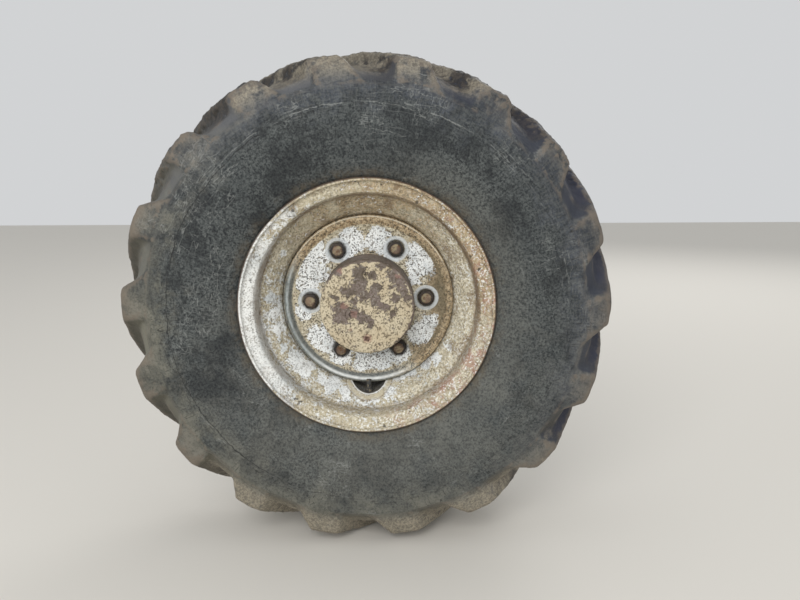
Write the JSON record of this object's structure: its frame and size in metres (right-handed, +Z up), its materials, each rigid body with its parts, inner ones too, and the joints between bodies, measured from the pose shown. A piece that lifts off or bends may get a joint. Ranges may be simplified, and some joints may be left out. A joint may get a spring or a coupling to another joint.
{
  "type": "driven wheel and axle end of a site dumper",
  "caption": "Driven wheel of a small site dumper: traction tyre on a dished rim, bolted to a planetary hub that turns on the spindle of a flanged axle arm.",
  "frame": {"origin": "centre of the axle arm's mounting face, on the wheel's axis", "axes": "+Y along the wheel's axis towards the machine, so the wheel's outer face looks to -Y; +Z up"},
  "size_m": [0.85, 0.411, 0.85],
  "materials": {
    "tyre": "worn rubber with dried mud",
    "rim_paint": "off-white paint under tan mud and rust",
    "hub_iron": "rusty iron under tan mud",
    "fastener_steel": "rusty steel",
    "turned_steel": "machined steel with an oily film",
    "axle_paint": "black chassis paint, dusty",
    "seal_rubber": "matt black",
    "valve_rubber": "matt black",
    "valve_plastic": "matt"
  },
  "bodies": {
    "axle_end": {"axle_arm": "axle_paint", "spindle": "turned_steel", "arm_bolts": "fastener_steel", "shaft_seal": "seal_rubber"},
    "wheel": {"tyre": "tyre", "rim": "rim_paint", "disc": "rim_paint", "hub": "hub_iron", "hub_cover": "hub_iron", "hub_seal": "seal_rubber", "cover_screw_1": "fastener_steel", "cover_screw_2": "fastener_steel", "oil_plug": "fastener_steel", "valve_stem": "valve_rubber", "valve_cap": "valve_plastic", "wheel_stud_1": "fastener_steel", "wheel_stud_2": "fastener_steel", "wheel_stud_3": "fastener_steel", "wheel_stud_4": "fastener_steel", "wheel_stud_5": "fastener_steel", "wheel_stud_6": "fastener_steel", "wheel_nut_1": "fastener_steel", "wheel_nut_2": "fastener_steel", "wheel_nut_3": "fastener_steel", "wheel_nut_4": "fastener_steel", "wheel_nut_5": "fastener_steel", "wheel_nut_6": "fastener_steel"},
    "shaft": {"half_shaft": "turned_steel"}
  },
  "joints": [
    {"name": "wheel_spin", "type": "hinge", "parent": "axle_end", "child": "wheel", "pos_m": [0, -0.22, 0], "axis": [0, -1, 0], "continuous": true},
    {"name": "shaft_spin", "type": "hinge", "parent": "axle_end", "child": "shaft", "pos_m": [0, 0, 0], "axis": [0, -1, 0], "continuous": true}
  ],
  "couplings": [
    {"joint": "shaft_spin", "follows": "wheel_spin", "ratio": 5}
  ]
}
